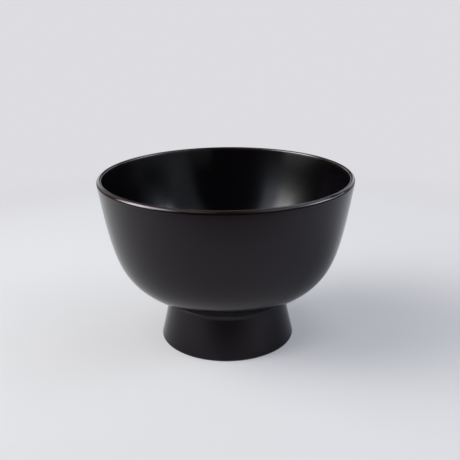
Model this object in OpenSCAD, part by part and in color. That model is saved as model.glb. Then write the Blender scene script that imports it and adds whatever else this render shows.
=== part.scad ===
// Lacquered soup bowl on a tall flared foot, built as a lacquerer builds one.
// A turned wood bowl stands with its spigot in a turned foot ring. Putty fills the corner between
// them, hemp cloth binds what wears, and lacquer covers it all in three separate coats.
// Every outline is a half section, with its points as [distance from the axis, height].

/* [Bowl] */
// Diameter over the rim
rim_d = 120; // [110:1:136]
// Height from the sole to the top of the rim
bowl_h = 81.4; // [76:0.2:92]
// Slope of the wall at the rim, in degrees from level
rim_slope = 81.5; // [78:0.5:84]
// Slope of the underside where it leaves the foot, in degrees from level
neck_slope = 26; // [20:1:30]
// Fullness of the belly above the foot, as a share of the way to the corner of its tangents
low_belly_share = 0.91; // [0.8:0.01:0.95]
// Fullness of the belly below the wall, as a share of the way to the corner of its tangents
high_belly_share = 0.88; // [0.75:0.01:0.92]

/* [Wall] */
// Thickness of the finished wall at the lip
lip_t = 2.4; // [2.3:0.1:3]
// Radius of the lip's outer rounding
lip_round_r = 1.5; // [1.2:0.1:1.5]
// Thickness of the finished wall where it leaves the foot
wall_foot_t = 8.6; // [7:0.1:9]

/* [Foot] */
// Diameter of the foot at the sole, measured before the edge is rounded
foot_d = 65.6; // [60:0.2:70]
// Height of the corner between the foot and the underside
foot_h = 21.2; // [20:0.2:25]
// Lean of the foot's flank, in degrees from upright
foot_lean = 12.25; // [9:0.25:15]
// Thickness of the finished foot wall
foot_wall_t = 4; // [3.6:0.1:5]
// Radius of the curve between the foot and the underside
neck_round_r = 2.8; // [2:0.1:4]
// Radius of the sole's two edges
sole_edge_r = 0.8; // [0.8:0.05:1.2]
// Depth of the hollow in the foot
hollow_h = 15.5; // [13:0.5:17]
// Radius of the curve between the hollow's wall and its ceiling
hollow_round_r = 4.5; // [3:0.1:5]

/* [Joint of bowl and foot] */
// Diameter of the spigot under the bowl
spigot_d = 42; // [32:1:43]
// Glue gap between the spigot and the foot ring
glue_gap = 0.1; // [0.05:0.05:0.2]

/* [Cloth and lacquer] */
// Thickness of the lacquer over the cloth
lacquer_t = 0.4; // [0.3:0.05:0.45]
// Thickness of the hemp cloth and of the putty's edge
cloth_t = 0.25; // [0.15:0.05:0.3]
// Where the rim cloth starts, as a share of the wall's run from the foot to the lip
rim_cloth_share = 0.86; // [0.7:0.01:0.95]
// How much of the well the well cloth covers, as a share of its arc
well_cloth_share = 0.8; // [0.5:0.01:0.95]
// Height of the foot cloth on both faces of the foot
foot_cloth_h = 6; // [3:0.5:8]

/* [Hidden] */
wall_steps = 22;
rim_steps = 6;
well_steps = 8;
bare_well_steps = 3;
round_steps = 6;
turn_steps = 160;
// Points closer together than this count as one
same_point = 0.001;
// Depth of the bare wood under the finished surface
skin_t = lacquer_t + cloth_t;

function dir(a) = [cos(a), sin(a)];
function arc(centre, r, from, to, steps) =
    [for (i = [0:steps]) centre + r * dir(from + (to - from) * i / steps)];
function distinct(p) = [for (i = [0:len(p) - 1]) if (i == 0 || norm(p[i] - p[i - 1]) > same_point) p[i]];
function reversed(p) = [for (i = [len(p) - 1:-1:0]) p[i]];
function cross_at(p, a, q, b) =
    let (d = q - p) p + dir(a) * (d[0] * sin(b) - d[1] * cos(b)) / sin(b - a);

// Lip: two quarter rounds that meet at its top
inner_round_r = lip_t - lip_round_r;
outer_lip_c = [rim_d / 2 - lip_round_r,
               bowl_h - inner_round_r - (lip_round_r - inner_round_r) * sin(rim_slope)];
inner_lip_c = outer_lip_c + (lip_round_r - inner_round_r) * dir(rim_slope);
function outer_lip(depth) =
    arc(outer_lip_c, lip_round_r - depth, rim_slope - 90, rim_slope, round_steps);
function inner_lip(depth) =
    arc(inner_lip_c, inner_round_r - depth, rim_slope, rim_slope + 90, round_steps);

// Neck: the flank and the underside meet at a corner, which a hollow curve rounds
flank_dir = 90 + foot_lean;
neck_corner = [foot_d / 2 - foot_h * tan(foot_lean), foot_h];
neck_reach = neck_round_r * tan((flank_dir - neck_slope) / 2);
neck_top = neck_corner + neck_reach * dir(neck_slope);
neck_foot = neck_corner - neck_reach * dir(flank_dir);
neck_c = neck_top - neck_round_r * dir(neck_slope + 90);
function neck(depth) =
    arc(neck_c, neck_round_r + depth, neck_slope + 90, flank_dir + 90, round_steps);
wood_corner = cross_at(neck_foot - skin_t * dir(foot_lean), flank_dir,
                       neck_top + skin_t * dir(neck_slope + 90), neck_slope);

// Belly: one cubic curve from the neck to the lip
belly_end = outer_lip_c - lip_round_r * dir(rim_slope + 90);
belly_corner = cross_at(neck_top, neck_slope, belly_end, rim_slope);
belly = [neck_top,
         neck_top + low_belly_share * (belly_corner - neck_top),
         belly_end + high_belly_share * (belly_corner - belly_end),
         belly_end];
function on_belly(u) = pow(1 - u, 3) * belly[0] + 3 * u * pow(1 - u, 2) * belly[1]
    + 3 * u * u * (1 - u) * belly[2] + pow(u, 3) * belly[3];
function belly_run(u) = pow(1 - u, 2) * (belly[1] - belly[0])
    + 2 * u * (1 - u) * (belly[2] - belly[1]) + u * u * (belly[3] - belly[2]);
function into_wall(u) = let (run = belly_run(u)) [-run[1], run[0]] / norm(run);
function wall_t(u) = lip_t + (wall_foot_t - lip_t) * pow(1 - u * u, 2);
function outside(depth, from, to, steps) =
    [for (i = [0:steps]) let (u = from + (to - from) * i / steps) on_belly(u) + depth * into_wall(u)];
function inside(depth, from, to, steps) =
    [for (i = [0:steps]) let (u = from + (to - from) * i / steps)
        on_belly(u) + (wall_t(u) - depth) * into_wall(u)];

// Well: an arc that runs level at the axis and meets the wall without a break
well_edge = on_belly(0) + wall_foot_t * into_wall(0);
well_r = well_edge[0] / sin(neck_slope);
well_c = [0, well_edge[1] + well_r * cos(neck_slope)];
function well(depth, from, to, steps) =
    arc(well_c, well_r + depth, -90 + neck_slope * from, -90 + neck_slope * to, steps);

// Foot: two parallel flanks, two rounded edges and a hollow with a level ceiling
outer_edge_c = [foot_d / 2 - sole_edge_r * (tan(foot_lean) + 1 / cos(foot_lean)), sole_edge_r];
inner_edge_c = [foot_d / 2 - foot_wall_t - sole_edge_r * (tan(foot_lean) - 1 / cos(foot_lean)),
                sole_edge_r];
hollow_c_h = hollow_h - hollow_round_r;
hollow_c = [foot_d / 2 - foot_wall_t - hollow_c_h * tan(foot_lean) - hollow_round_r / cos(foot_lean),
            hollow_c_h];
function outer_edge(depth) = arc(outer_edge_c, sole_edge_r - depth, foot_lean, -90, round_steps);
function inner_edge(depth) = arc(inner_edge_c, sole_edge_r - depth, -90, foot_lean - 180, round_steps);
function hollow_round(depth) = arc(hollow_c, hollow_round_r + depth, foot_lean, 90, round_steps);
function flank(h, depth) = [foot_d / 2 - h * tan(foot_lean), h] - depth * dir(foot_lean);
function hollow_wall(h, depth) =
    [foot_d / 2 - foot_wall_t - h * tan(foot_lean), h] + depth * dir(foot_lean);

// Outlines shared by the pieces on either side of them
function lip(depth) = concat(outer_lip(depth), inner_lip(depth));
function sole(depth) = concat(outer_edge(depth), inner_edge(depth));
function outer_ground() = concat(
    outside(lacquer_t, 1, rim_cloth_share, rim_steps),
    outside(skin_t, rim_cloth_share, 0, wall_steps));
function inner_ground() = concat(
    inside(lacquer_t, 1, rim_cloth_share, rim_steps),
    inside(skin_t, rim_cloth_share, 0, wall_steps),
    well(skin_t, 1, well_cloth_share, bare_well_steps),
    well(lacquer_t, well_cloth_share, 0, well_steps));

module turned(outline) {
    rotate_extrude($fn = turn_steps) polygon(distinct(outline));
}

module bowl_core() {
    color("burlywood")
        turned(concat(
            well(skin_t, 0, well_cloth_share, well_steps),
            well(skin_t, well_cloth_share, 1, bare_well_steps),
            inside(skin_t, 0, rim_cloth_share, wall_steps),
            inside(skin_t, rim_cloth_share, 1, rim_steps),
            reversed(lip(skin_t)),
            outside(skin_t, 1, rim_cloth_share, rim_steps),
            outside(skin_t, rim_cloth_share, 0, wall_steps),
            [wood_corner,
             [spigot_d / 2, wood_corner[1]],
             [spigot_d / 2, hollow_h + skin_t],
             [0, hollow_h + skin_t]]));
}

module foot_core() {
    bore_r = spigot_d / 2 + glue_gap;
    color("peru")
        turned(concat(
            [[bore_r, wood_corner[1]], wood_corner],
            sole(skin_t),
            hollow_round(skin_t),
            [[bore_r, hollow_h + skin_t]]));
}

module neck_putty() {
    color("sienna")
        turned(concat(
            [neck_top + skin_t * dir(neck_slope + 90)],
            neck(lacquer_t),
            [neck_foot - skin_t * dir(foot_lean), wood_corner]));
}

module rim_cloth() {
    color("tan")
        turned(concat(
            outside(lacquer_t, rim_cloth_share, 1, rim_steps),
            lip(lacquer_t),
            inside(lacquer_t, 1, rim_cloth_share, rim_steps),
            inside(skin_t, rim_cloth_share, 1, rim_steps),
            reversed(lip(skin_t)),
            outside(skin_t, 1, rim_cloth_share, rim_steps)));
}

module well_cloth() {
    color("tan")
        turned(concat(
            well(lacquer_t, 0, well_cloth_share, well_steps),
            well(skin_t, well_cloth_share, 0, well_steps)));
}

module foot_cloth() {
    color("tan")
        turned(concat(
            [flank(foot_cloth_h, lacquer_t)],
            sole(lacquer_t),
            [hollow_wall(foot_cloth_h, lacquer_t), hollow_wall(foot_cloth_h, skin_t)],
            reversed(sole(skin_t)),
            [flank(foot_cloth_h, skin_t)]));
}

module inner_lacquer() {
    color([0.09, 0.085, 0.09])
        turned(concat(
            well(0, 0, well_cloth_share, well_steps),
            well(0, well_cloth_share, 1, bare_well_steps),
            inside(0, 0, rim_cloth_share, wall_steps),
            inside(0, rim_cloth_share, 1, rim_steps),
            reversed(inner_lip(0)),
            inner_lip(lacquer_t),
            inner_ground()));
}

module outer_lacquer() {
    color([0.15, 0.145, 0.15])
        turned(concat(
            [outer_edge(0)[0]],
            reversed(neck(0)),
            outside(0, 0, rim_cloth_share, wall_steps),
            outside(0, rim_cloth_share, 1, rim_steps),
            outer_lip(0),
            reversed(outer_lip(lacquer_t)),
            outer_ground(),
            neck(lacquer_t),
            [neck_foot - skin_t * dir(foot_lean),
             flank(foot_cloth_h, skin_t),
             flank(foot_cloth_h, lacquer_t),
             outer_edge(lacquer_t)[0]]));
}

module sole_lacquer() {
    color([0.12, 0.115, 0.12])
        turned(concat(
            sole(0),
            hollow_round(0),
            [[0, hollow_h], [0, hollow_h + skin_t]],
            reversed(hollow_round(skin_t)),
            [hollow_wall(foot_cloth_h, skin_t), hollow_wall(foot_cloth_h, lacquer_t)],
            reversed(sole(lacquer_t))));
}

bowl_core();
foot_core();
neck_putty();
rim_cloth();
well_cloth();
foot_cloth();
inner_lacquer();
outer_lacquer();
sole_lacquer();
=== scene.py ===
"""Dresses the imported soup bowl: smooth coats of lacquer over its turned wood, putty and hemp cloth.

Sizes of the bowl are in millimetres, as in its CAD source, and become metres where a mesh is made. Places of
the lamps and the camera are in metres. The bowl stands on the floor, with its axis on the Z axis.
"""

import functools
import logging
import math
from dataclasses import dataclass
from enum import Enum
from typing import Union

import bmesh
import bpy
from mathutils import Matrix, Vector


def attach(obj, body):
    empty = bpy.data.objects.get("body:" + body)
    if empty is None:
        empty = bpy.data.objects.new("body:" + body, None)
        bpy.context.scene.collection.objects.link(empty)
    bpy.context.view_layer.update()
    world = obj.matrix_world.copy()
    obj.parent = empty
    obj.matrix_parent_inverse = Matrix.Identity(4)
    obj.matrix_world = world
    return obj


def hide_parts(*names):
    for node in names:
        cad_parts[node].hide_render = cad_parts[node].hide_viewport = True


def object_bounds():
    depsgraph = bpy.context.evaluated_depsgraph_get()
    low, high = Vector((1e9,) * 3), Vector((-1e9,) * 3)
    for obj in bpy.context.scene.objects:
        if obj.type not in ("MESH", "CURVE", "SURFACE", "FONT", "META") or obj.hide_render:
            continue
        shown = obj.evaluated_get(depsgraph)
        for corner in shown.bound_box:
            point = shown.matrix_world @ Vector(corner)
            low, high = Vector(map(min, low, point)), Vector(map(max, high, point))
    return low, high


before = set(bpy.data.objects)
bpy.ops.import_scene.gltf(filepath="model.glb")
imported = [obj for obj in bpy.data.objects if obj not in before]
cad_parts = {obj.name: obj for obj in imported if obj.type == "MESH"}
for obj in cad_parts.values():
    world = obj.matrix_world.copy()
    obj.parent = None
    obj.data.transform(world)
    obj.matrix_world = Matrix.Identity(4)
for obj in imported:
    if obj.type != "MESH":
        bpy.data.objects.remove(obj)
cad_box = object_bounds()

Colour = tuple[float, float, float]
Value = Union[float, tuple, bpy.types.NodeSocket]

MM = 0.001
BODY = "root"
WHITE: Colour = (1.0, 1.0, 1.0)
PURPLISH: Colour = (1.0, 0.88, 0.99)
WARM: Colour = (1.03, 1.00, 0.96)
COOL: Colour = (0.90, 0.98, 1.14)
MIRRORED_BACKDROP = 0.6

log = logging.getLogger("soup_bowl")


def heading(degrees: float) -> Vector:
    """Unit step in a half section.

    Args:
        degrees: Angle from level, outward from the axis.

    Returns:
        The step, as distance from the axis and height.
    """
    turn = math.radians(degrees)
    return Vector((math.cos(turn), math.sin(turn)))


def arc(centre: Vector, radius: float, start: float, end: float, steps: int) -> list[Vector]:
    """Points of a round stretch in a half section.

    Args:
        centre: Centre of the arc.
        radius: Its radius.
        start: Angle of the first point, in degrees.
        end: Angle of the last point, in degrees.
        steps: Number of chords.

    Returns:
        The points, both ends among them.
    """
    return [centre + radius * heading(start + (end - start) * i / steps) for i in range(steps + 1)]


def crossing(point: Vector, slope: float, other: Vector, other_slope: float) -> Vector:
    """Where two straight lines of a half section cross.

    Args:
        point: A point of the first line.
        slope: The first line's angle, in degrees.
        other: A point of the second line.
        other_slope: The second line's angle, in degrees.

    Returns:
        The crossing.
    """
    apart = other - point
    across = heading(other_slope)
    reach = (apart.x * across.y - apart.y * across.x) / math.sin(math.radians(other_slope - slope))
    return point + reach * heading(slope)


@dataclass(frozen=True)
class BowlShape:
    """The bowl's half section, from the same driving sizes as its CAD source but in finer steps.

    Lengths are in millimetres and angles in degrees. Of the sizes, only flank_sag isn't in the source.
    """

    rim_d: float = 120.0
    bowl_h: float = 81.4
    rim_slope: float = 81.5
    neck_slope: float = 26.0
    low_belly_share: float = 0.91
    high_belly_share: float = 0.88
    lip_t: float = 2.4
    lip_round_r: float = 1.5
    wall_foot_t: float = 8.6
    foot_d: float = 65.6
    foot_h: float = 21.2
    foot_lean: float = 12.25
    foot_wall_t: float = 4.0
    neck_round_r: float = 2.8
    sole_edge_r: float = 0.8
    hollow_h: float = 15.5
    hollow_round_r: float = 4.5
    lacquer_t: float = 0.4
    cloth_t: float = 0.25
    rim_cloth_share: float = 0.86
    well_cloth_share: float = 0.8
    foot_cloth_h: float = 6.0
    wall_steps: int = 60
    rim_steps: int = 12
    well_steps: int = 14
    bare_well_steps: int = 4
    round_steps: int = 16
    flank_steps: int = 16
    flank_sag: float = 0.15

    @property
    def skin_t(self) -> float:
        """Depth of the bare wood under the finished surface."""
        return self.lacquer_t + self.cloth_t

    @property
    def lean(self) -> float:
        """Run of the foot's flank towards the axis per unit of height."""
        return math.tan(math.radians(self.foot_lean))

    @property
    def inner_round_r(self) -> float:
        """Radius of the lip's inner rounding."""
        return self.lip_t - self.lip_round_r

    @functools.cached_property
    def outer_lip_c(self) -> Vector:
        """Centre of the lip's outer rounding."""
        rise = (self.lip_round_r - self.inner_round_r) * heading(self.rim_slope).y
        return Vector((self.rim_d / 2 - self.lip_round_r, self.bowl_h - self.inner_round_r - rise))

    def outer_lip(self, depth: float) -> list[Vector]:
        """Outer rounding of the lip at a depth under its surface, from the wall to the lip's top."""
        start = self.rim_slope - 90
        return arc(self.outer_lip_c, self.lip_round_r - depth, start, self.rim_slope, self.round_steps)

    def inner_lip(self, depth: float) -> list[Vector]:
        """Inner rounding of the lip.

        Args:
            depth: Depth under the finished surface.

        Returns:
            Its points, from the lip's top to the wall.
        """
        centre = self.outer_lip_c + (self.lip_round_r - self.inner_round_r) * heading(self.rim_slope)
        end = self.rim_slope + 90
        return arc(centre, self.inner_round_r - depth, self.rim_slope, end, self.round_steps)

    @property
    def flank_slope(self) -> float:
        """Angle of the foot's flank from level."""
        return 90 + self.foot_lean

    @functools.cached_property
    def neck_corner(self) -> Vector:
        """Where the flank and the underside would meet."""
        return Vector((self.foot_d / 2 - self.foot_h * self.lean, self.foot_h))

    @property
    def neck_reach(self) -> float:
        """Distance from the neck's corner to either end of its hollow curve."""
        return self.neck_round_r * math.tan(math.radians(self.flank_slope - self.neck_slope) / 2)

    @functools.cached_property
    def neck_top(self) -> Vector:
        """Where the underside leaves the neck."""
        return self.neck_corner + self.neck_reach * heading(self.neck_slope)

    @functools.cached_property
    def neck_foot(self) -> Vector:
        """Where the flank leaves the neck."""
        return self.neck_corner - self.neck_reach * heading(self.flank_slope)

    def neck(self, depth: float) -> list[Vector]:
        """Hollow curve of the neck.

        Args:
            depth: Depth under the finished surface.

        Returns:
            Its points, from the underside to the flank.
        """
        centre = self.neck_top - self.neck_round_r * heading(self.neck_slope + 90)
        start, end = self.neck_slope + 90, self.flank_slope + 90
        return arc(centre, self.neck_round_r + depth, start, end, self.round_steps)

    @functools.cached_property
    def belly(self) -> tuple[Vector, Vector, Vector, Vector]:
        """The belly's curve.

        Returns:
            The four points that draw it, from the neck to the lip.
        """
        end = self.outer_lip_c - self.lip_round_r * heading(self.rim_slope + 90)
        corner = crossing(self.neck_top, self.neck_slope, end, self.rim_slope)
        return (
            self.neck_top,
            self.neck_top.lerp(corner, self.low_belly_share),
            end.lerp(corner, self.high_belly_share),
            end,
        )

    def wall_t(self, u: float) -> float:
        """Thickness of the finished wall at a share of its run from the neck to the lip."""
        return self.lip_t + (self.wall_foot_t - self.lip_t) * (1 - u * u) ** 2

    def wall(self, depth: float, start: float, end: float, steps: int, inner: bool) -> list[Vector]:
        """Points along the wall.

        Args:
            depth: Depth under the finished surface.
            start: First point, as a share of the wall's run from the neck to the lip.
            end: Last point, as such a share.
            steps: Number of chords.
            inner: True for the inside of the wall.

        Returns:
            The points, both ends among them.
        """
        a, b, c, d = self.belly
        points = []
        for i in range(steps + 1):
            u = start + (end - start) * i / steps
            v = 1 - u
            on_curve = v**3 * a + 3 * u * v * v * b + 3 * u * u * v * c + u**3 * d
            run = v * v * (b - a) + 2 * u * v * (c - b) + u * u * (d - c)
            into_wall = Vector((-run.y, run.x)).normalized()
            points.append(on_curve + (self.wall_t(u) - depth if inner else depth) * into_wall)
        return points

    def well(self, depth: float, start: float, end: float, steps: int) -> list[Vector]:
        """Points along the well.

        Args:
            depth: Depth under the finished surface.
            start: First point, as a share of the well's arc from the axis to the wall.
            end: Last point, as such a share.
            steps: Number of chords.

        Returns:
            The points, both ends among them.
        """
        edge = self.neck_top + self.wall_foot_t * heading(self.neck_slope + 90)
        radius = edge.x / heading(self.neck_slope).y
        centre = Vector((0, edge.y + radius * heading(self.neck_slope).x))
        slopes = [self.neck_slope * share - 90 for share in (start, end)]
        return arc(centre, radius + depth, *slopes, steps)

    def outer_edge(self, depth: float) -> list[Vector]:
        """Outer edge of the sole.

        Args:
            depth: Depth under the finished surface.

        Returns:
            Its points, from the flank to the sole.
        """
        slant = 1 / heading(self.foot_lean).x
        centre = Vector((self.foot_d / 2 - self.sole_edge_r * (self.lean + slant), self.sole_edge_r))
        return arc(centre, self.sole_edge_r - depth, self.foot_lean, -90, self.round_steps)

    def inner_edge(self, depth: float) -> list[Vector]:
        """Inner edge of the sole.

        Args:
            depth: Depth under the finished surface.

        Returns:
            Its points, from the sole to the hollow.
        """
        slant = 1 / heading(self.foot_lean).x
        distance = self.foot_d / 2 - self.foot_wall_t - self.sole_edge_r * (self.lean - slant)
        centre = Vector((distance, self.sole_edge_r))
        return arc(centre, self.sole_edge_r - depth, -90, self.foot_lean - 180, self.round_steps)

    def hollow_round(self, depth: float) -> list[Vector]:
        """Curve between the hollow's wall and its ceiling.

        Args:
            depth: Depth under the finished surface.

        Returns:
            Its points, from the wall to the ceiling.
        """
        height = self.hollow_h - self.hollow_round_r
        slant = self.hollow_round_r / heading(self.foot_lean).x
        centre = Vector((self.foot_d / 2 - self.foot_wall_t - height * self.lean - slant, height))
        return arc(centre, self.hollow_round_r + depth, self.foot_lean, 90, self.round_steps)

    def flank(self, height: float, depth: float) -> Vector:
        """Point under the foot's flank."""
        return Vector((self.foot_d / 2 - height * self.lean, height)) - depth * heading(self.foot_lean)

    def hollow_flank(self) -> list[Vector]:
        """The foot's flank, which the lacquer leaves a little hollow.

        Returns:
            Its points from the sole to the neck, both ends left out.
        """
        start, end = self.outer_edge(0)[0], self.neck_foot
        points = []
        for i in range(1, self.flank_steps):
            share = i / self.flank_steps
            sag = 4 * self.flank_sag * share * (1 - share)
            points.append(start.lerp(end, share) - sag * heading(self.foot_lean))
        return points

    def hollow_wall(self, height: float, depth: float) -> Vector:
        """Point under the wall of the hollow."""
        face = Vector((self.foot_d / 2 - self.foot_wall_t - height * self.lean, height))
        return face + depth * heading(self.foot_lean)


@dataclass(frozen=True)
class Lathe:
    """Turns closed half sections about the Z axis into smooth meshes.

    Corners nearer to each other than same_point, in millimetres, count as one. Edges sharper than crease, in
    degrees, stay sharp.
    """

    segments: int = 240
    scale: float = MM
    same_point: float = 0.001
    crease: float = 30.0

    @classmethod
    def inside(cls, box: tuple[Vector, Vector], shape: BowlShape) -> "Lathe":
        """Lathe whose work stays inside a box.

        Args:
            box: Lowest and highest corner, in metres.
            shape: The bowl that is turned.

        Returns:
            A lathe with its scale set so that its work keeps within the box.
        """
        low, high = box
        half = min(high.x, high.y, -low.x, -low.y)
        return cls(scale=min(half / (shape.rim_d / 2), high.z / shape.bowl_h, MM))

    def turn(self, name: str, outline: list[Vector]) -> bpy.types.Object:
        """Turn a closed half section.

        Args:
            name: Name of the new piece.
            outline: Its corners in order, as distance from the axis and height in millimetres.

        Returns:
            The new object, which stands at the origin.
        """
        shell = bmesh.new()
        turns = [math.tau * k / self.segments for k in range(self.segments)]
        rings: list[list[bmesh.types.BMVert]] = []
        last = outline[-1]
        for point in outline:
            if (point - last).length < self.same_point:
                continue
            last = point
            r, z = point * self.scale
            if point.x < self.same_point:
                rings.append([shell.verts.new((0, 0, z))])
            else:
                rings.append([shell.verts.new((r * math.cos(t), r * math.sin(t), z)) for t in turns])
        for ring, following in zip(rings, rings[1:] + rings[:1]):
            if len(ring) + len(following) > 2:
                self._bridge(shell, ring, following)
        bmesh.ops.recalc_face_normals(shell, faces=shell.faces)
        mesh = bpy.data.meshes.new(name)
        shell.to_mesh(mesh)
        shell.free()
        mesh.shade_smooth()
        mesh.set_sharp_from_angle(angle=math.radians(self.crease))
        piece = bpy.data.objects.new(name, mesh)
        bpy.context.scene.collection.objects.link(piece)
        return piece

    def _bridge(self, shell: bmesh.types.BMesh, ring: list, following: list) -> None:
        """Join two neighbouring rings with faces.

        Args:
            shell: The mesh in the making.
            ring: Vertices of one ring, or the one vertex on the axis.
            following: Vertices of the next ring, or the one vertex on the axis.
        """
        for k in range(self.segments):
            after = (k + 1) % self.segments
            corners = [ring[k % len(ring)], ring[after % len(ring)]]
            corners += [following[after % len(following)], following[k % len(following)]]
            shell.faces.new(list(dict.fromkeys(corners)))


class Board:
    """Nodes of one shader tree, set and linked as they are added."""

    def __init__(self, tree: bpy.types.NodeTree) -> None:
        """Start from an empty tree."""
        self.tree = tree
        self.tree.nodes.clear()

    def add(self, kind: str, inputs: dict[Union[str, int], Value], **settings: object) -> bpy.types.Node:
        """Add a node.

        Args:
            kind: The node's type, without the word ShaderNode if it begins with that.
            inputs: Values or sockets for its inputs, by name or number.
            **settings: The node's own settings.

        Returns:
            The new node.
        """
        node = self.tree.nodes.new(kind if kind.startswith("Node") else f"ShaderNode{kind}")
        for name, setting in settings.items():
            setattr(node, name, setting)
        for key, value in inputs.items():
            if isinstance(value, bpy.types.NodeSocket):
                self.tree.links.new(value, node.inputs[key])
            else:
                node.inputs[key].default_value = value
        return node

    def group(self, tree: bpy.types.NodeTree, inputs: dict[str, Value]) -> dict[str, bpy.types.NodeSocket]:
        """Place a node group.

        Args:
            tree: The group.
            inputs: Values or sockets for its inputs, by name.

        Returns:
            Its outputs by name.
        """
        node = self.add("Group", inputs, node_tree=tree)
        return {socket.name: socket for socket in node.outputs}

    def maths(self, operation: str, first: Value, second: Value = 0.0) -> bpy.types.NodeSocket:
        """Result of one arithmetic step."""
        return self.add("Math", {0: first, 1: second}, operation=operation).outputs[0]

    def product(self, first: Value, second: Value) -> bpy.types.NodeSocket:
        """First times second."""
        return self.maths("MULTIPLY", first, second)

    def total(self, first: Value, second: Value) -> bpy.types.NodeSocket:
        """First plus second."""
        return self.maths("ADD", first, second)

    def rest(self, value: Value) -> bpy.types.NodeSocket:
        """What is left of 1."""
        return self.maths("SUBTRACT", 1.0, value)

    def length(self, first: Value, second: Value) -> bpy.types.NodeSocket:
        """Length of a step with two parts square to each other."""
        return self.maths("SQRT", self.total(self.product(first, first), self.product(second, second)))

    def place(self) -> bpy.types.NodeSocket:
        """The shaded point, in the piece's own frame."""
        return self.add("TexCoord", {}).outputs["Object"]

    def axes(self, vector: bpy.types.NodeSocket) -> tuple[bpy.types.NodeSocket, ...]:
        """The X, Y and Z of a vector."""
        return tuple(self.add("SeparateXYZ", {0: vector}).outputs)

    def joined(self, *parts: Value) -> bpy.types.NodeSocket:
        """Vector with these parts."""
        return self.add("CombineXYZ", dict(enumerate(parts))).outputs[0]

    def noise(self, at: Value, scale: Value, detail: float, roughness: float = 0.5) -> bpy.types.NodeSocket:
        """Clouds from 0 to 1."""
        inputs = {"Vector": at, "Scale": scale, "Detail": detail, "Roughness": roughness}
        return self.add("TexNoise", inputs).outputs[0]

    def spread(
        self, value: Value, low: Value, high: Value, start: Value = 0.0, end: Value = 1.0
    ) -> bpy.types.NodeSocket:
        """Smooth change from start to end while a value goes from low to high."""
        inputs = {"Value": value, "From Min": low, "From Max": high, "To Min": start, "To Max": end}
        return self.add("MapRange", inputs, interpolation_type="SMOOTHSTEP").outputs["Result"]

    def bump(self, height: Value, strength: float, rise: float) -> bpy.types.NodeSocket:
        """Normal of a surface whose relief rises by so many millimetres while a height goes from 0 to 1."""
        return self.add("Bump", {"Height": height, "Strength": strength, "Distance": rise * MM}).outputs[0]

    def surface(self, inputs: dict[str, Value]) -> None:
        """Finish a material with one Principled shader that has these inputs."""
        shader = self.add("BsdfPrincipled", inputs)
        self.add("OutputMaterial", {"Surface": shader.outputs[0]})

    def blend(self, factor: Value, first: Value, second: Value) -> bpy.types.NodeSocket:
        """Colour between two others.

        Args:
            factor: Share of the second colour.
            first: The first colour.
            second: The second colour.

        Returns:
            The colour's socket.
        """
        node = self.add("Mix", {"Factor": factor}, data_type="RGBA")
        for key, value in {"A": first, "B": second}.items():
            socket = next(s for s in node.inputs if s.name == key and s.type == "RGBA")
            if isinstance(value, bpy.types.NodeSocket):
                self.tree.links.new(value, socket)
            else:
                socket.default_value = (*value, 1)
        return next(s for s in node.outputs if s.type == "RGBA")


def new_group(
    name: str, inputs: dict[str, float], outputs: tuple[str, ...]
) -> tuple[Board, dict[str, bpy.types.NodeSocket]]:
    """Start a shader node group.

    Args:
        name: The group's name.
        inputs: Its inputs with the values that they hold until a material sets them.
        outputs: Names of its outputs, which all carry single numbers.

    Returns:
        A board for the group's nodes, and the sockets of its inputs by name.
    """
    tree = bpy.data.node_groups.new(name, "ShaderNodeTree")
    board = Board(tree)
    for socket_name, value in inputs.items():
        socket = tree.interface.new_socket(socket_name, in_out="INPUT", socket_type="NodeSocketFloat")
        socket.default_value = value
    for socket_name in outputs:
        tree.interface.new_socket(socket_name, in_out="OUTPUT", socket_type="NodeSocketFloat")
    source = board.add("NodeGroupInput", {})
    return board, {socket.name: socket for socket in source.outputs if socket.name}


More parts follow.
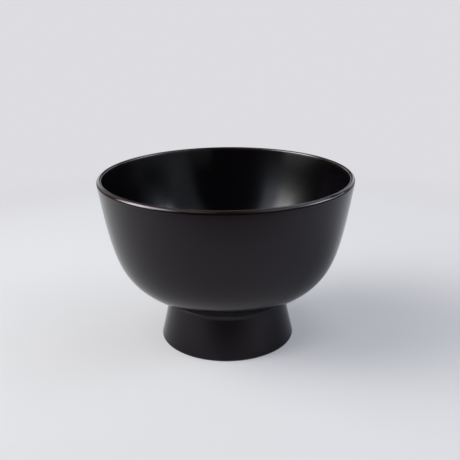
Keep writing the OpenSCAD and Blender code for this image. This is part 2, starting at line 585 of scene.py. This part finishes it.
class Effects:
    """Shader node groups that several finishes share, each built when it is first asked for."""

    @staticmethod
    @functools.cache
    def brush_marks() -> bpy.types.NodeTree:
        """Marks that a lacquer brush leaves as it runs round a turned form.

        Returns:
            A group that puts out the film's Height and its Bloom, a slow change of sheen, both from 0 to 1.
        """
        inputs = {"Marks per Metre": 900.0, "Changes per Turn": 3.0, "Bloom Scale": 24.0}
        board, given = new_group("brush_marks", inputs, ("Height", "Bloom"))
        least_r, mark_detail, mark_roughness, bloom_detail = 1e-5, 3.0, 0.55, 2.0
        place = board.place()
        x, y, z = board.axes(place)
        r = board.length(x, y)
        run = board.product(board.total(r, z), given["Marks per Metre"])
        around = [board.maths("DIVIDE", side, board.maths("MAXIMUM", r, least_r)) for side in (x, y)]
        stretched = board.joined(*(board.product(side, given["Changes per Turn"]) for side in around), run)
        marks = board.noise(stretched, 1.0, mark_detail, mark_roughness)
        bloom = board.noise(place, given["Bloom Scale"], bloom_detail)
        board.add("NodeGroupOutput", {"Height": marks, "Bloom": bloom})
        return board.tree

    @staticmethod
    @functools.cache
    def thin_edge() -> bpy.types.NodeTree:
        """Strip along a level edge where a coat is drawn thin or rubbed.

        Returns:
            A group that puts out Thinness, uneven and at most 1 on the edge, which fades to 0 over its Reach.
        """
        inputs = {"Edge Height": 0.0814, "Reach": 0.002, "Unevenness": 0.4}
        board, given = new_group("thin_edge", inputs, ("Thinness",))
        cloud_scale, cloud_detail = 140.0, 2.0
        place = board.place()
        height = board.axes(place)[2]
        away = board.maths("ABSOLUTE", board.maths("SUBTRACT", height, given["Edge Height"]))
        near = board.rest(board.spread(away, 0.0, given["Reach"]))
        cloud = board.noise(place, cloud_scale, cloud_detail)
        broken = board.rest(board.product(cloud, given["Unevenness"]))
        board.add("NodeGroupOutput", {"Thinness": board.product(near, broken)})
        return board.tree

    @staticmethod
    @functools.cache
    def growth_rings() -> bpy.types.NodeTree:
        """Growth rings of a blank cut across the trunk's side, with the trunk along X under the blank.

        Returns:
            A group that puts out Ring, 0 in early wood and 1 in late wood, and Pores, 1 in a pore.
        """
        inputs = {"Pith Depth": 0.09, "Pith Offset": 0.02, "Ring Width": 0.0024}
        board, given = new_group("growth_rings", inputs, ("Ring", "Pores"))
        late_wood, year_end = (0.35, 0.9), (0.94, 1.0)
        sway_scale, sway_detail = 22.0, 3.0
        fibre_stretch, pore_scale, pore_detail, pore_cut = 0.06, 2600.0, 1.0, (0.60, 0.68)
        place = board.place()
        x, y, z = board.axes(place)
        sway = board.noise(place, sway_scale, sway_detail)
        out = board.length(board.total(z, given["Pith Depth"]), board.total(y, given["Pith Offset"]))
        swayed = board.total(out, board.product(sway, given["Ring Width"]))
        year = board.maths("FRACT", board.maths("DIVIDE", swayed, given["Ring Width"]))
        ring = board.product(board.spread(year, *late_wood), board.rest(board.spread(year, *year_end)))
        fibre = board.joined(board.product(x, fibre_stretch), y, z)
        pore = board.noise(fibre, pore_scale, pore_detail)
        board.add("NodeGroupOutput", {"Ring": ring, "Pores": board.spread(pore, *pore_cut)})
        return board.tree

    @staticmethod
    @functools.cache
    def plain_weave() -> bpy.types.NodeTree:
        """Plain weave of hemp yarn.

        Returns:
            A group that takes Warp and Weft, places counted in yarns. It puts out Height, from 0 between the
            yarns to 1 on their crowns, and Slub, how thick and pale a yarn is there.
        """
        board, given = new_group("plain_weave", {"Warp": 0.0, "Weft": 0.0}, ("Height", "Slub"))
        slub_scale, slub_detail = 0.45, 2.0
        yarns = []
        for along, across in (("Warp", "Weft"), ("Weft", "Warp")):
            ridge = board.maths("ABSOLUTE", board.maths("SINE", board.product(given[across], math.pi)))
            step = board.total(given[along], board.maths("FLOOR", given[across]))
            shift = step if along == "Warp" else board.total(step, 1.0)
            over = board.maths("SINE", board.product(shift, math.pi))
            yarns.append(board.product(ridge, board.spread(over, -1.0, 1.0)))
        height = board.maths("MAXIMUM", *yarns)
        slub = board.noise(board.joined(given["Warp"], given["Weft"]), slub_scale, slub_detail)
        board.add("NodeGroupOutput", {"Height": height, "Slub": slub})
        return board.tree


def new_material(name: str) -> tuple[bpy.types.Material, Board]:
    """Start a material.

    Args:
        name: The material's name.

    Returns:
        The material and a board for its nodes.
    """
    material = bpy.data.materials.new(name)
    material.use_nodes = True
    return material, Board(material.node_tree)


class Gloss(Enum):
    """Roughness that each way of finishing a coat leaves."""

    FLOWED = 0.19
    BRUSHED = 0.18
    RUBBED = 0.30


@dataclass(frozen=True)
class Lacquer:
    """Urushi lacquer, nearly black in depth and brown where it is thin.

    At the height edge_h the coat is drawn thin, and there edge_polish sets how far it is polished. Unless
    handled_h is 0, hands have rubbed the coat smoother up to that height. Lengths are in millimetres.
    """

    name: str
    gloss: Gloss
    edge_h: float
    edge_reach: float
    mirror: float
    sheen: Colour = WHITE
    deep: Colour = (0.0015, 0.0009, 0.0014)
    thin: Colour = (0.022, 0.0080, 0.0040)
    ior: float = 1.5
    edge_polish: float = 0.0
    edge_roughness: float = 0.10
    edge_ior: float = 1.65
    handled_h: float = 0.0
    handled_shine: float = 0.04
    handled_fade: tuple[float, float] = (0.9, 1.15)
    bloom: float = 0.05
    bloom_range: tuple[float, float] = (0.3, 0.7)
    mark_depth: float = 0.0012

    def material(self) -> bpy.types.Material:
        """Make the material: brown at its edge, with brush marks and an uneven bloom in its sheen.

        Returns:
            The material.
        """
        material, board = new_material(self.name)
        film = board.group(Effects.brush_marks(), {})
        strip = {"Edge Height": self.edge_h * MM, "Reach": self.edge_reach * MM}
        edge = board.group(Effects.thin_edge(), strip)
        polish = board.product(edge["Thinness"], self.edge_polish) if self.edge_polish else 0.0
        board.surface(
            {
                "Base Color": board.blend(edge["Thinness"], self.deep, self.thin),
                "Roughness": self.roughness(board, film["Bloom"]),
                "Normal": board.bump(film["Height"], 1.0, self.mark_depth),
                "IOR": self.ior,
                "Specular IOR Level": self.mirror,
                "Specular Tint": (*self.sheen, 1),
                "Coat Weight": polish,
                "Coat Roughness": self.edge_roughness,
                "Coat IOR": self.edge_ior,
            }
        )
        return material

    def roughness(self, board: Board, bloom: bpy.types.NodeSocket) -> bpy.types.NodeSocket:
        """Roughness of the coat, uneven with its bloom and lower where it is handled.

        Args:
            board: The material's nodes.
            bloom: The bloom, from 0 to 1.

        Returns:
            The roughness.
        """
        low, high = self.gloss.value - self.bloom / 2, self.gloss.value + self.bloom / 2
        roughness = board.spread(bloom, *self.bloom_range, low, high)
        if not self.handled_h:
            return roughness
        ends = (self.handled_h * MM * share for share in self.handled_fade)
        height = board.axes(board.place())[2]
        return board.maths("SUBTRACT", roughness, board.spread(height, *ends, self.handled_shine, 0.0))


@dataclass(frozen=True)
class TurnedWood:
    """Turned zelkova, with its growth rings and pores. Lengths are in millimetres."""

    name: str
    pith_depth: float
    early: Colour = (0.50, 0.32, 0.17)
    late: Colour = (0.27, 0.14, 0.062)
    pore: Colour = (0.10, 0.05, 0.025)
    pore_share: float = 0.8
    ring_relief: float = 0.4
    relief_strength: float = 0.6
    relief_depth: float = 0.08
    early_roughness: float = 0.72
    late_roughness: float = 0.55

    def material(self) -> bpy.types.Material:
        """Make the material: darker late wood, open pores and a dry surface.

        Returns:
            The material.
        """
        material, board = new_material(self.name)
        grain = board.group(Effects.growth_rings(), {"Pith Depth": self.pith_depth * MM})
        wood = board.blend(grain["Ring"], self.early, self.late)
        height = board.maths("SUBTRACT", board.product(grain["Ring"], self.ring_relief), grain["Pores"])
        roughness = board.spread(grain["Ring"], 0.0, 1.0, self.early_roughness, self.late_roughness)
        board.surface(
            {
                "Base Color": board.blend(board.product(grain["Pores"], self.pore_share), wood, self.pore),
                "Roughness": roughness,
                "Normal": board.bump(height, self.relief_strength, self.relief_depth),
            }
        )
        return material


class Lay(Enum):
    """How a cloth lies: bound round a wall, or flat across the well."""

    ROUND = "round"
    FLAT = "flat"


@dataclass(frozen=True)
class HempCloth:
    """Hemp cloth soaked in raw lacquer, which has darkened it. Lengths are in millimetres."""

    name: str
    lay: Lay
    radius: float
    yarn: float = 0.55
    pale: Colour = (0.26, 0.165, 0.085)
    dark: Colour = (0.055, 0.026, 0.012)
    crowns: tuple[float, float] = (0.1, 0.9)
    slubs: tuple[float, float] = (0.2, 0.8)
    thin_yarn_tone: float = 0.5
    relief_depth: float = 0.15
    soaked_roughness: float = 0.45
    dry_roughness: float = 0.8

    def material(self) -> bpy.types.Material:
        """Make the material: a plain weave, with dark lacquer between the yarns.

        Returns:
            The material.
        """
        material, board = new_material(self.name)
        weave = board.group(Effects.plain_weave(), self.yarn_counts(board))
        crown = board.spread(weave["Height"], *self.crowns)
        tone = board.product(crown, board.spread(weave["Slub"], *self.slubs, self.thin_yarn_tone, 1.0))
        roughness = board.spread(weave["Height"], 0.0, 1.0, self.soaked_roughness, self.dry_roughness)
        board.surface(
            {
                "Base Color": board.blend(tone, self.dark, self.pale),
                "Roughness": roughness,
                "Normal": board.bump(weave["Height"], 1.0, self.relief_depth),
            }
        )
        return material

    def yarn_counts(self, board: Board) -> dict[str, bpy.types.NodeSocket]:
        """Count the yarns to a place on the cloth.

        Args:
            board: The material's nodes.

        Returns:
            The counts along Warp and Weft.
        """
        x, y, z = board.axes(board.place())
        per_metre = 1 / (self.yarn * MM)
        if self.lay is Lay.FLAT:
            return {"Warp": board.product(x, per_metre), "Weft": board.product(y, per_metre)}
        # The count is even, so that the weave closes where the cloth meets itself.
        per_turn = 2 * round(math.pi * self.radius / self.yarn)
        return {
            "Warp": board.product(board.maths("ARCTAN2", y, x), per_turn / math.tau),
            "Weft": board.product(board.total(z, board.length(x, y)), per_metre),
        }


@dataclass(frozen=True)
class Putty:
    """Lacquer putty, thick with flour and sawdust. Lengths are in millimetres."""

    name: str
    paste: Colour = (0.060, 0.030, 0.014)
    crumb: Colour = (0.24, 0.14, 0.07)
    crumb_scale: float = 2600.0
    crumb_edge: tuple[float, float] = (0.1, 0.45)
    lump_scale: float = 700.0
    lump_detail: float = 4.0
    lumps: tuple[float, float] = (0.2, 0.8)
    relief_strength: float = 0.7
    relief_depth: float = 0.1
    hollow_roughness: float = 0.85
    lump_roughness: float = 0.6

    def material(self) -> bpy.types.Material:
        """Make the material: pale crumbs of sawdust in a dark paste.

        Returns:
            The material.
        """
        material, board = new_material(self.name)
        place = board.place()
        crumbs = board.add("TexVoronoi", {"Vector": place, "Scale": self.crumb_scale}).outputs["Distance"]
        lumps = board.noise(place, self.lump_scale, self.lump_detail)
        share = board.product(board.rest(board.spread(crumbs, *self.crumb_edge)), lumps)
        board.surface(
            {
                "Base Color": board.blend(share, self.paste, self.crumb),
                "Roughness": board.spread(lumps, *self.lumps, self.hollow_roughness, self.lump_roughness),
                "Normal": board.bump(lumps, self.relief_strength, self.relief_depth),
            }
        )
        return material


@dataclass
class LacquerCoat:
    """One coat of lacquer, brushed on in one session."""

    shape: BowlShape
    lathe: Lathe
    finish: Lacquer
    node: str = ""

    def outline(self) -> list[Vector]:
        """Corners of the coat's half section."""
        raise NotImplementedError

    def build(self) -> bpy.types.Object:
        """Turn the coat.

        Returns:
            The coat, in the place of its CAD node.
        """
        piece = self.lathe.turn(f"{self.node}_coat", self.outline())
        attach(piece, BODY)
        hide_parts(self.node)
        return piece

    def dress(self, piece: bpy.types.Object) -> None:
        """Give the coat its finish."""
        piece.data.materials.append(self.finish.material())


@dataclass
class InnerCoat(LacquerCoat):
    """Coat of the inside, up to the top of the lip."""

    node: str = "inner_lacquer"

    def outline(self) -> list[Vector]:
        """Corners of the coat's half section.

        Returns:
            The corners, along the finished face and back along the ground.
        """
        s = self.shape
        finished = (
            s.well(0, 0, 1, s.well_steps)
            + s.wall(0, 0, 1, s.wall_steps, inner=True)
            + s.inner_lip(0)[::-1]
        )
        ground = (
            s.inner_lip(s.lacquer_t)
            + s.wall(s.lacquer_t, 1, s.rim_cloth_share, s.rim_steps, inner=True)
            + s.wall(s.skin_t, s.rim_cloth_share, 0, s.wall_steps, inner=True)
            + s.well(s.skin_t, 1, s.well_cloth_share, s.bare_well_steps)
            + s.well(s.lacquer_t, s.well_cloth_share, 0, s.well_steps)
        )
        return finished + ground


@dataclass
class OuterCoat(LacquerCoat):
    """Coat of the outside, from the lip to the sole's outer edge."""

    node: str = "outer_lacquer"

    def outline(self) -> list[Vector]:
        """Corners of the coat's half section.

        Returns:
            The corners, along the finished face and back along the ground.
        """
        s = self.shape
        finished = (
            s.outer_edge(0)[:1]
            + s.hollow_flank()
            + s.neck(0)[::-1]
            + s.wall(0, 0, 1, s.wall_steps, inner=False)
            + s.outer_lip(0)
        )
        ground = (
            s.outer_lip(s.lacquer_t)[::-1]
            + s.wall(s.lacquer_t, 1, s.rim_cloth_share, s.rim_steps, inner=False)
            + s.wall(s.skin_t, s.rim_cloth_share, 0, s.wall_steps, inner=False)
            + s.neck(s.lacquer_t)
            + [s.neck_foot - s.skin_t * heading(s.foot_lean)]
            + [s.flank(s.foot_cloth_h, s.skin_t), s.flank(s.foot_cloth_h, s.lacquer_t)]
            + s.outer_edge(s.lacquer_t)[:1]
        )
        return finished + ground


@dataclass
class SoleCoat(LacquerCoat):
    """Coat of the sole and of the hollow in the foot."""

    node: str = "sole_lacquer"

    def outline(self) -> list[Vector]:
        """Corners of the coat's half section.

        Returns:
            The corners, along the finished face and back along the ground.
        """
        s = self.shape
        finished = s.outer_edge(0) + s.inner_edge(0) + s.hollow_round(0)
        ground = (
            s.hollow_round(s.skin_t)[::-1]
            + [s.hollow_wall(s.foot_cloth_h, s.skin_t), s.hollow_wall(s.foot_cloth_h, s.lacquer_t)]
            + s.inner_edge(s.lacquer_t)[::-1]
            + s.outer_edge(s.lacquer_t)[::-1]
        )
        return finished + [Vector((0, s.hollow_h)), Vector((0, s.hollow_h + s.skin_t))] + ground


@dataclass(frozen=True)
class HiddenPiece:
    """A piece under the lacquer, which keeps its CAD solid and gets a finish of its own."""

    node: str
    finish: Union[TurnedWood, HempCloth, Putty]

    def dress(self) -> bpy.types.Object:
        """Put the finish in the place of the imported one.

        Returns:
            The node's object.
        """
        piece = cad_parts[self.node]
        piece.data.materials.clear()
        piece.data.materials.append(self.finish.material())
        return piece


@dataclass(frozen=True)
class TurnedBody:
    """Bowl and foot ring, turned from two blanks, and the putty round their joint."""

    bowl_pith: float = 90.0
    foot_pith: float = 60.0

    def dress(self) -> list[bpy.types.Object]:
        """Give the wood and the putty their finishes.

        Returns:
            The three pieces.
        """
        pieces = (
            HiddenPiece("bowl_core", TurnedWood("bowl_wood", self.bowl_pith)),
            HiddenPiece("foot_core", TurnedWood("foot_wood", self.foot_pith)),
            HiddenPiece("neck_putty", Putty("neck_putty")),
        )
        return [piece.dress() for piece in pieces]


@dataclass(frozen=True)
class ClothBinding:
    """Hemp cloth on the lip, in the well and round the sole."""

    shape: BowlShape

    def dress(self) -> list[bpy.types.Object]:
        """Give each cloth its weave.

        Returns:
            The three cloths.
        """
        pieces = (
            HiddenPiece("rim_cloth", HempCloth("rim_cloth", Lay.ROUND, self.shape.rim_d / 2)),
            HiddenPiece("well_cloth", HempCloth("well_cloth", Lay.FLAT, self.shape.foot_d / 2)),
            HiddenPiece("foot_cloth", HempCloth("foot_cloth", Lay.ROUND, self.shape.foot_d / 2)),
        )
        return [piece.dress() for piece in pieces]


@dataclass(frozen=True)
class Camera:
    """The photograph's point of view, in metres, with its roll in radians and its lens in millimetres."""

    place: Vector = Vector((0, -0.31989, 0.16281))
    target: Vector = Vector((0.001744, 0, 0.05332))
    roll: float = -0.0100
    lens: float = 54.843

    def build(self) -> bpy.types.Object:
        """Set the scene's camera.

        Returns:
            The camera.
        """
        data = bpy.data.cameras.new("camera")
        data.lens = self.lens
        camera = bpy.data.objects.new("camera", data)
        bpy.context.scene.collection.objects.link(camera)
        level = (self.target - self.place).to_track_quat("-Z", "Y").to_matrix()
        turn = (level @ Matrix.Rotation(self.roll, 3, "Z")).to_4x4()
        camera.matrix_world = Matrix.Translation(self.place) @ turn
        bpy.context.scene.camera = camera
        return camera


@dataclass(frozen=True)
class Softbox:
    """A rectangular soft lamp that faces the bowl, placed and sized by the angles at which the bowl sees it.

    Angles are in degrees. The azimuth counts from the camera's side to the left.
    """

    name: str
    azimuth: float
    elevation: float
    span: tuple[float, float]
    radiance: float
    colour: Colour = WHITE
    distance: float = 1.1
    aim: Vector = Vector((0, 0, 0.05))

    def build(self) -> bpy.types.Object:
        """Hang the lamp.

        Returns:
            The lamp.
        """
        data = bpy.data.lights.new(self.name, "AREA")
        data.shape = "RECTANGLE"
        data.size, data.size_y = (self.width(angle) for angle in self.span)
        data.energy = self.radiance * math.pi * data.size * data.size_y
        data.color = self.colour
        lamp = bpy.data.objects.new(self.name, data)
        bpy.context.scene.collection.objects.link(lamp)
        a, e = math.radians(self.azimuth), math.radians(self.elevation)
        away = Vector((-math.sin(a) * math.cos(e), -math.cos(a) * math.cos(e), math.sin(e)))
        turn = (-away).to_track_quat("-Z", "Y").to_matrix().to_4x4()
        lamp.matrix_world = Matrix.Translation(self.aim + away * self.distance) @ turn
        lamp.visible_camera = False
        return lamp

    def width(self, angle: float) -> float:
        """Width that fills an angle at the lamp's distance."""
        return 2 * self.distance * math.tan(math.radians(angle / 2))


@dataclass(frozen=True)
class Floor:
    """A sheet of pale paper on a dim table, which to the camera fades into the backdrop's colour, and near
    the bowl glows a little as painted light in the bowl's shadow.

    Lengths are in metres. The fields painted_fill_near_sole, fade_from and fade_to each hold a distance from
    the bowl's axis and the share at it of a glow in the backdrop's colour that only the camera sees. Near the
    bowl this glow is painted light, which lightens the bowl's shadow on the paper; far out it is the
    backdrop. Behind the bowl the lacquer mirrors the backdrop too, which comes in between the two distances
    of mirrored_from.
    The paper ends softly between those of paper_ends. In front of the bowl it and the fade reach only
    front_share as far.
    """

    paper: Colour
    backdrop: Colour
    table: Colour = (0.04, 0.04, 0.042)
    # Painted light: the camera-only glow's share right beside the sole, which lightens the bowl's shadow.
    painted_fill_near_sole: tuple[float, float] = (0.033, 0.19)
    fade_from: tuple[float, float] = (0.065, 0.345)
    fade_to: tuple[float, float] = (0.36, 1.0)
    paper_ends: tuple[float, float] = (0.23, 0.42)
    front_share: float = 0.55
    mirrored_from: tuple[float, float] = (0.25, 0.6)
    reach: float = 6.0
    under_sole: float = 0.00002

    def build(self) -> bpy.types.Object:
        """Lay the floor just under the sole.

        Returns:
            The floor.
        """
        r, z = self.reach, -self.under_sole
        mesh = bpy.data.meshes.new("floor")
        mesh.from_pydata([(-r, -r, z), (r, -r, z), (r, r, z), (-r, r, z)], [], [(0, 1, 2, 3)])
        mesh.materials.append(self.material())
        floor = bpy.data.objects.new("floor", mesh)
        bpy.context.scene.collection.objects.link(floor)
        return floor

    def material(self) -> bpy.types.Material:
        """Make the paper with its fade.

        Returns:
            The material.
        """
        material, board = new_material("floor")
        x, y = board.axes(board.place())[:2]
        away = board.length(x, board.maths("MAXIMUM", y, board.product(y, -1 / self.front_share)))
        (sole, least), (start, share), (end, most) = self.painted_fill_near_sole, self.fade_from, self.fade_to
        # Right beside the sole the camera already sees part of the glow: painted light that lightens the
        # bowl's shadow on the floor. Farther out the glow is the backdrop.
        backdrop_and_painted_fill = board.spread(away, start, end, board.spread(away, sole, start, least, share), most)
        path = board.add("LightPath", {}).outputs
        behind = board.spread(y, *self.mirrored_from, 0.0, MIRRORED_BACKDROP)
        to_camera = board.product(backdrop_and_painted_fill, path["Is Camera Ray"])
        seen = board.maths("MAXIMUM", to_camera, board.product(path["Is Glossy Ray"], behind))
        sheet = board.blend(board.spread(away, *self.paper_ends), self.paper, self.table)
        diffuse = board.add("BsdfDiffuse", {"Color": sheet})
        glow = board.add("Emission", {"Color": (*self.backdrop, 1), "Strength": 1.0})
        shader = board.add("MixShader", {0: seen, 1: diffuse.outputs[0], 2: glow.outputs[0]})
        board.add("OutputMaterial", {"Surface": shader.outputs[0]})
        return material


@dataclass(frozen=True)
class Room:
    """What stands round the table: a dim room, which to the camera has the backdrop's colour.

    The lacquer mirrors the backdrop too, low behind the bowl. There it comes in while a direction's Y goes
    through the range behind, and goes out while its Z goes through the range low.
    """

    backdrop: Colour
    dim: Colour = (0.020, 0.022, 0.029)
    behind: tuple[float, float] = (0.75, 0.92)
    low: tuple[float, float] = (0.10, 0.25)

    def build(self) -> bpy.types.World:
        """Set the world.

        Returns:
            The world.
        """
        world = bpy.data.worlds.new("room")
        bpy.context.scene.world = world
        world.use_nodes = True
        board = Board(world.node_tree)
        room = board.add("Background", {"Color": (*self.dim, 1), "Strength": 1.0})
        pale = board.add("Background", {"Color": (*self.backdrop, 1), "Strength": 1.0})
        y, z = board.axes(board.add("TexCoord", {}).outputs["Generated"])[1:]
        level = board.spread(z, *self.low, MIRRORED_BACKDROP, 0.0)
        mirrored = board.product(board.spread(y, *self.behind), level)
        path = board.add("LightPath", {}).outputs
        seen = board.maths("MAXIMUM", path["Is Camera Ray"], board.product(path["Is Glossy Ray"], mirrored))
        mixed = board.add("MixShader", {0: seen, 1: room.outputs[0], 2: pale.outputs[0]})
        board.add("OutputWorld", {"Surface": mixed.outputs[0]})
        return world


@dataclass(frozen=True)
class Studio:
    """Floor, room and lamps."""

    backdrop: Colour = (0.72, 0.72, 0.755)
    paper: Colour = (0.885, 0.885, 0.885)

    def key(self) -> tuple[Softbox, ...]:
        """Lamp on the left, brightest in its middle, with what it spills on the screens round it."""
        return (
            Softbox("key", 84, 31, (44, 34), 3.1),
            Softbox("key_core", 83, 22, (36, 12), 2.5),
            Softbox("key_middle", 84, 26, (20, 22), 5.15),
            Softbox("key_high", 88, 46, (44, 16), 3.55, WARM),
            Softbox("key_spill", 56, 26, (22, 26), 1.2, COOL),
            Softbox("left_glow", 85, 4, (44, 7), 1.0),
            Softbox("left_back", 135, 24, (24, 32), 0.4),
            Softbox("back_left", 156, 14, (18, 16), 0.6),
        )

    def fill(self) -> tuple[Softbox, ...]:
        """Weaker and cooler lamp on the right, with what it spills on the wall beside the table."""
        return (
            Softbox("fill", -86, 26, (34, 12), 3.1, COOL),
            Softbox("fill_middle", -88, 25, (20, 20), 2.9, COOL),
            Softbox("fill_back", -108, 14, (26, 12), 1.55, COOL),
            Softbox("right_wall", -72, 28, (72, 56), 0.24, COOL),
            Softbox("right_high", -60, 42, (30, 20), 0.8),
            Softbox("front_right", -25, 4, (20, 8), 0.24),
            Softbox("back_right", -146, 20, (26, 28), 0.6, COOL),
        )

    def top(self) -> tuple[Softbox, ...]:
        """Pale ceiling, dark straight over the bowl."""
        return (
            Softbox("top_left", 70, 64, (50, 22), 0.60),
            Softbox("top_right", -70, 64, (50, 22), 0.33),
            Softbox("top_back", 180, 58, (44, 20), 0.32, COOL),
            Softbox("top_back_right", -140, 50, (30, 20), 0.90, COOL),
        )

    def build(self) -> None:
        """Set the bowl in soft light from both sides, stronger from the left."""
        Floor(self.paper, self.backdrop).build()
        Room(self.backdrop).build()
        for lamp in self.key() + self.fill() + self.top():
            lamp.build()


def main() -> None:
    """Build the bowl and its studio."""
    logging.basicConfig(level=logging.INFO, format="%(name)s: %(message)s")
    Camera().build()
    shape = BowlShape()
    lathe = Lathe.inside(cad_box, shape)
    lip = {"edge_h": shape.bowl_h, "edge_reach": 2.2, "edge_polish": 1.0}
    sole = {"edge_h": 0.0, "edge_reach": 0.9}
    outside = {"sheen": PURPLISH, "handled_h": shape.foot_h}
    coats = (
        InnerCoat(shape, lathe, Lacquer("inner_lacquer", Gloss.FLOWED, mirror=0.53, **lip)),
        OuterCoat(shape, lathe, Lacquer("outer_lacquer", Gloss.BRUSHED, mirror=0.305, **outside, **lip)),
        SoleCoat(shape, lathe, Lacquer("sole_lacquer", Gloss.RUBBED, mirror=0.32, **sole)),
    )
    pieces = []
    for coat in coats:
        piece = coat.build()
        coat.dress(piece)
        pieces.append(piece)
    pieces += TurnedBody().dress() + ClothBinding(shape).dress()
    for piece in pieces:
        log.info("%s has %d faces", piece.name, len(piece.data.polygons))
    Studio().build()
    bpy.context.scene.view_settings.view_transform = "Standard"


if __name__ == "__main__":
    main()
